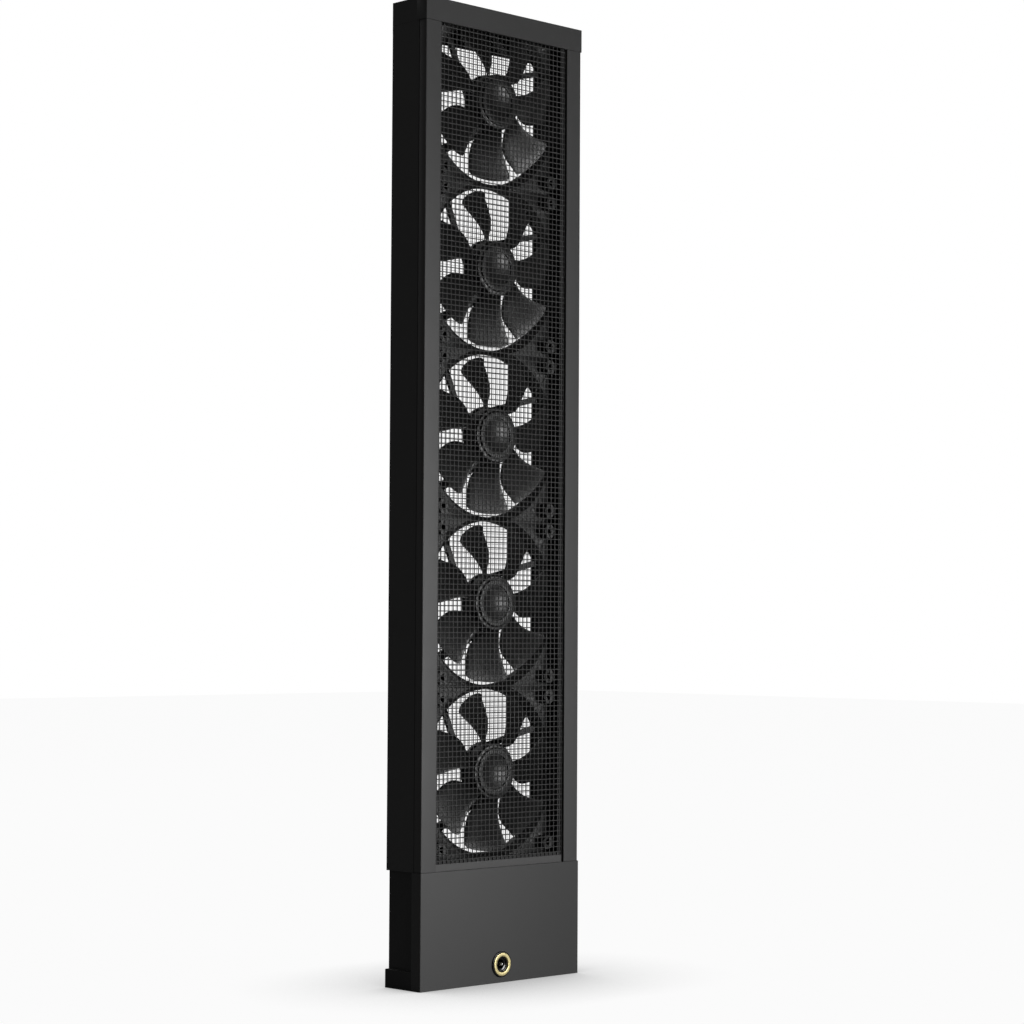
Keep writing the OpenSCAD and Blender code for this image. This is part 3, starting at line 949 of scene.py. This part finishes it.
@dataclass
class Inlet:
    """The power inlet on the base: collar, pale gold ring, black socket and centre pin."""

    ring_bore: float = 11.0 * MM
    ring_wall: float = 1.95 * MM
    throat_bore: float = 6.4 * MM
    round_edge: float = 0.45 * MM
    fit_gap: float = 0.05 * MM
    plug_room: float = 4.0 * MM
    throat_floor: float = 1.5 * MM
    throat_start: float = 1.6 * MM
    throat_round: float = 0.5 * MM
    lip_outer: tuple[float, float] = (0.7 * MM, 0.1 * MM)
    lip_inner: tuple[float, float] = (0.9 * MM, 0.9 * MM)
    lip_round: float = 0.2 * MM

    def build(self, finishes: Finishes) -> list[bpy.types.Object]:
        """Make the pieces of the inlet that show.

        Args:
            finishes: the fan's materials.

        Returns:
            The collar, the ring, the socket and the pin.
        """
        return [self._piece("inlet_collar", "inlet_black", self._collar(), finishes),
                self._piece("inlet_ring", "brass_ring", self._ring(), finishes),
                self._piece("inlet_socket", "inlet_black", self._socket(), finishes),
                self._piece("inlet_pin", "pin_metal", self._pin(), finishes)]

    def _piece(self, node: str, slot: str, profile: Outline, finishes: Finishes) -> bpy.types.Object:
        """Turn one profile and put it in place of its node.

        Args:
            node: the node that the piece replaces.
            slot: the finish's slot.
            profile: radius and depth pairs.
            finishes: the fan's materials.

        Returns:
            The turned piece.
        """
        low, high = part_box("inlet_ring")
        centre = (0.0, 0.0, (low.z + high.z) / 2)
        made = new_object(node + "_turned", lathe(node, profile, centre), finishes[slot])
        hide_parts(node)
        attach(made, "root")
        return made

    def _collar(self) -> Outline:
        """Outline of the black collar.

        Returns:
            Radius and depth pairs.
        """
        low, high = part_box("inlet_collar")
        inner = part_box("inlet_ring")[1].x + self.fit_gap
        edge = self.round_edge
        return [(inner, high.y), (inner, low.y), *arc((high.x - edge, low.y + edge), edge, 270, 360),
                (high.x, high.y)]

    def _ring(self) -> Outline:
        """Outline of the gold ring, rounded in front, with its neck behind.

        Returns:
            Radius and depth pairs.
        """
        low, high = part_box("inlet_ring")
        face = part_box("inlet_collar")[1].y
        edge = self.round_edge
        inner, outer = self.ring_bore / 2, high.x
        neck = inner + self.ring_wall
        return [(inner, high.y), *arc((inner + edge, low.y + edge), edge, 180, 270),
                ((inner + outer) / 2, low.y), *arc((outer - edge, low.y + edge), edge, 270, 360),
                (outer, face), (neck, face), (neck, high.y)]

    def _socket(self) -> Outline:
        """Outline of the black socket: a lip, a step and the plug's throat.

        Returns:
            Radius and depth pairs.
        """
        low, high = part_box("inlet_socket")
        outer = self.ring_bore / 2 - self.fit_gap
        throat = self.throat_bore / 2
        start = low.y + self.throat_start
        back = high.y - self.plug_room
        edge = self.lip_round
        return [(0.0, back - self.throat_floor), (throat, back - self.throat_floor), (throat, start),
                *arc((throat + self.throat_round, start), self.throat_round, 180, 270, 3),
                *((outer - inset, low.y + deep) for inset, deep in (self.lip_inner, self.lip_outer)),
                *arc((outer - edge, low.y + edge), edge, 270, 360, 3), (outer, back), (0.0, back)]

    def _pin(self) -> Outline:
        """Outline of the centre pin with its rounded tip.

        Returns:
            Radius and depth pairs.
        """
        low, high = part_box("inlet_pin")
        radius = (high.x - low.x) / 2
        return [(0.0, low.y), *arc((0.0, low.y + radius), radius, 285, 360, 8), (radius, high.y), (0.0, high.y)]


@dataclass
class ScrewSet:
    """Pan-head screws with a cross slot, set at the places of a group of plain ones."""

    node: str
    slot: str
    head: float = 3.5 * MM
    head_height: float = 1.4 * MM
    crown: tuple[tuple[float, float], ...] = ((0.55, -0.05 * MM), (0.85, -0.25 * MM), (1.0, -0.7 * MM))
    thread: float = 2.0 * MM
    point: float = 0.8 * MM
    point_share: float = 0.4
    slot_half: float = 0.4 * MM
    slot_depth: float = 0.7 * MM
    slot_share: float = 0.55
    turn: float = 0.7
    sides: int = 24
    crease: float = 35.0

    def build(self, finishes: Finishes) -> bpy.types.Object:
        """Make the screws where the node's own ones are.

        Args:
            finishes: the fan's materials.

        Returns:
            One mesh of all the screws, in place of the node.
        """
        places = self._places()
        low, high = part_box(self.node)
        builder = Builder(self.node + "_set")
        graph = builder.graph
        carrier = bpy.data.meshes.new(self.node + "_places")
        carrier.from_pydata([(x, high.y, z) for x, z in places], [], [])
        screw = self._screw_object(high.y - low.y)
        info = graph.node("GeometryNodeObjectInfo", {"transform_space": "ORIGINAL"}, {"Object": screw})
        index = graph.value(graph.node("GeometryNodeInputIndex").outputs[0])
        turn = graph.node("ShaderNodeCombineXYZ", None, {
            1: index * builder.size("Turn between screws", self.turn)})
        copies = graph.node("GeometryNodeInstanceOnPoints", None, {
            "Points": builder.group_in.outputs["Geometry"], "Instance": info.outputs["Geometry"],
            "Rotation": turn.outputs[0]})
        made = builder.run(self.node + "_mesh", copies.outputs[0], finishes[self.slot], carrier)
        bpy.data.objects.remove(screw)
        smooth(made.data, self.crease)
        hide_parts(self.node)
        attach(made, "root")
        return made

    def _places(self) -> list[tuple[float, float]]:
        """Middle of each plain screw, seen from the front.

        Returns:
            Pairs of x and z, row by row from below.
        """
        made = bmesh.new()
        made.from_mesh(frame["nodes"][self.node].data)
        bmesh.ops.remove_doubles(made, verts=made.verts, dist=WELD)
        left = set(made.verts)
        places = []
        while left:
            stack, island = [left.pop()], []
            while stack:
                vert = stack.pop()
                island.append(vert.co.copy())
                for edge in vert.link_edges:
                    other = edge.other_vert(vert)
                    if other in left:
                        left.remove(other)
                        stack.append(other)
            xs, zs = [p.x for p in island], [p.z for p in island]
            places.append(((min(xs) + max(xs)) / 2, (min(zs) + max(zs)) / 2))
        made.free()
        return sorted(places, key=lambda place: (round(place[1], 4), place[0]))

    def _screw_object(self, length: float) -> bpy.types.Object:
        """One screw, which reaches forward from the origin and has its slotted head there.

        Args:
            length: the screw's whole length.

        Returns:
            The screw.
        """
        profile = [(0.0, 0.0), *((self.head * share, depth) for share, depth in self.crown),
                   (self.head, -self.head_height), (self.thread, -self.head_height),
                   (self.thread, self.point - length), (self.thread * self.point_share, -length),
                   (0.0, -length)]
        screw = new_object("screw", lathe("screw", profile, (0.0, 0.0, 0.0), self.sides))
        arm, half = self.head * self.slot_share, self.slot_half
        for reach_x, reach_z in ((arm, half), (half, arm)):
            form = bmesh.new()
            add_box(form, (-reach_x, -self.slot_depth, -reach_z), (reach_x, MM, reach_z))
            cutter = new_object("slot_cutter", closed_off(form, "slot_cutter"))
            cut_away(screw, cutter)
            screw = settle(screw, "screw")
            bpy.data.objects.remove(cutter)
        return screw


# ---------------------------------------------------------------- the studio


@dataclass
class Camera:
    """The camera of the reference view, fitted to the straight edges of the box."""

    lens: float = 92.38
    sensor: float = 36.0
    beside: float = -1.3013
    before: float = 1.3433
    height: float = 0.25296
    yaw: float = 44.27
    pitch: float = 2.45
    roll: float = 0.319
    nearest: float = 0.05

    def build(self, face: float) -> None:
        """Place the camera before the box.

        Args:
            face: where the box's front face lies, along y.
        """
        yaw, pitch, roll = (math.radians(a) for a in (self.yaw, self.pitch, self.roll))
        look = Vector((math.sin(yaw) * math.cos(pitch), math.cos(yaw) * math.cos(pitch), math.sin(pitch)))
        right = Vector((math.cos(yaw), -math.sin(yaw), 0.0))
        up = right.cross(look)
        turned_right = right * math.cos(roll) + up * math.sin(roll)
        turned_up = up * math.cos(roll) - right * math.sin(roll)
        data = bpy.data.cameras.new("camera")
        data.lens = self.lens
        data.sensor_width = self.sensor
        data.sensor_fit = "AUTO"
        data.clip_start = self.nearest
        camera = bpy.data.objects.new("camera", data)
        place = Matrix((turned_right, turned_up, -look)).transposed().to_4x4()
        place.translation = Vector((self.beside, face - self.before, self.height))
        camera.matrix_world = place
        bpy.context.scene.collection.objects.link(camera)
        bpy.context.scene.camera = camera


@dataclass
class Studio:
    """White surroundings, soft lamps and a pale floor that keeps the shadow, with a painted shadow darkening it
    near the fan.
    """

    ambient: float = 0.05
    mirrored: float = 0.05
    floor_half: float = 6.0
    floor_paint: float = 0.86
    floor_glow: float = 0.96
    # Reach and samples of the painted shadow that darkens the floor near the fan.
    painted_shadow_reach: float = 0.12
    painted_shadow_samples: int = 8
    aim: Point = (0.0, 0.0, 0.35)
    lamps: tuple[tuple[str, Point, float, float], ...] = (
        ("front", (1.05, -2.15, 0.12), 0.9, 40.0),
        ("rim", (0.4, 2.4, 1.6), 1.4, 5.0))

    def build(self) -> None:
        """Make the world, the floor and the lamps."""
        self._world()
        self._floor()
        for name, place, size, power in self.lamps:
            data = bpy.data.lights.new(name, "AREA")
            data.shape = "SQUARE"
            data.size = size
            data.energy = power
            lamp = bpy.data.objects.new(name, data)
            lamp.location = place
            lamp.rotation_euler = (Vector(self.aim) - Vector(place)).to_track_quat("-Z", "Y").to_euler()
            lamp.visible_camera = False
            bpy.context.scene.collection.objects.link(lamp)
        bpy.context.scene.view_settings.view_transform = "Standard"

    def _seen(self, graph: Graph) -> Value:
        """How much of the white surroundings a ray sees.

        Args:
            graph: the world's tree.

        Returns:
            1 for the camera and through clear pieces, and the mirrored share for reflections.
        """
        path = graph.node("ShaderNodeLightPath")
        sight = graph.value(path.outputs["Is Camera Ray"])
        mirror = graph.value(path.outputs["Is Glossy Ray"])
        clear = graph.value(path.outputs["Is Transmission Ray"])
        return sight + mirror * self.mirrored + clear

    def _world(self) -> None:
        """A white background that lights the fan only softly."""
        world = bpy.data.worlds.new("studio")
        graph = emptied(world)
        strength = self._seen(graph) * (1 - self.ambient) + self.ambient
        light = graph.node("ShaderNodeBackground", None, {"Color": WHITE, "Strength": strength})
        graph.node("ShaderNodeOutputWorld", None, {0: light.outputs[0]})
        bpy.context.scene.world = world

    def _floor(self) -> None:
        """The floor, a large pale sheet under the base, whose glow for the camera is darkened near the fan as a
        painted shadow.
        """
        made = bmesh.new()
        half = self.floor_half
        corners = ((-half, -half), (half, -half), (half, half), (-half, half))
        made.faces.new([made.verts.new((x, y, 0.0)) for x, y in corners])
        material = bpy.data.materials.new("floor")
        graph = emptied(material)
        paint = graph.node("ShaderNodeBsdfDiffuse", None, {"Color": (*[self.floor_paint] * 3, 1.0)})
        # Painted shadow: ambient occlusion darkens the floor's camera glow near the fan.
        near = graph.node("ShaderNodeAmbientOcclusion", {"samples": self.painted_shadow_samples}, {
            "Distance": self.painted_shadow_reach})
        glow = graph.node("ShaderNodeEmission", None, {"Color": WHITE, "Strength": near.outputs["AO"]})
        sight = graph.value(graph.node("ShaderNodeLightPath").outputs["Is Camera Ray"])
        mix = graph.node("ShaderNodeMixShader", None, {
            0: sight * self.floor_glow, 1: paint.outputs[0], 2: glow.outputs[0]})
        graph.node("ShaderNodeOutputMaterial", None, {0: mix.outputs[0]})
        floor = new_object("floor", closed_off(made, "floor"), material)


# ---------------------------------------------------------------- the fan


def build_pieces(finishes: Finishes) -> list[bpy.types.Object]:
    """Build every piece that stands in for a plain one.

    Args:
        finishes: the fan's materials.

    Returns:
        The pieces, in the order in which they were made.
    """
    makers: list[WireNet | SoftEdges | Rotor | ScrewSet] = [
        WireNet("front_net"), WireNet("rear_net", wire=REAR_WIRE),
        SoftEdges("top_cap", "body_grey"), SoftEdges("base_front_cover", "body_grey"),
        # The rear shell takes body_dark, the body plastic darkened as painted shade on its side.
        SoftEdges("base_rear_shell", "body_dark"), SoftEdges("left_upright", "body_grey", radius=UPRIGHT_EDGE),
        SoftEdges("right_upright", "body_grey", radius=UPRIGHT_EDGE),
        *(Rotor(number) for number in range(1, FAN_COUNT + 1)),
        ScrewSet("fan_screws", "screw_steel"), ScrewSet("strap_screws", "screw_steel", thread=STRAP_THREAD)]
    pieces = [maker.build(finishes) for maker in makers]
    return pieces + FlaredFrames().build(finishes) + Inlet().build(finishes)


def main() -> None:
    """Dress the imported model, build its pieces and light it."""
    logging.basicConfig(level=logging.INFO, format="%(name)s %(message)s")
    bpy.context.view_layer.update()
    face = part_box("base_front_cover")[0].y
    Camera().build(face)
    finishes = Finishes()
    finishes.dress_frame(frame["nodes"], frame["record"]["subparts"])
    for piece in build_pieces(finishes):
        LOG.info("%s: %d faces", piece.name, len(piece.data.polygons))
    Studio().build()


if __name__ == "__main__":
    main()
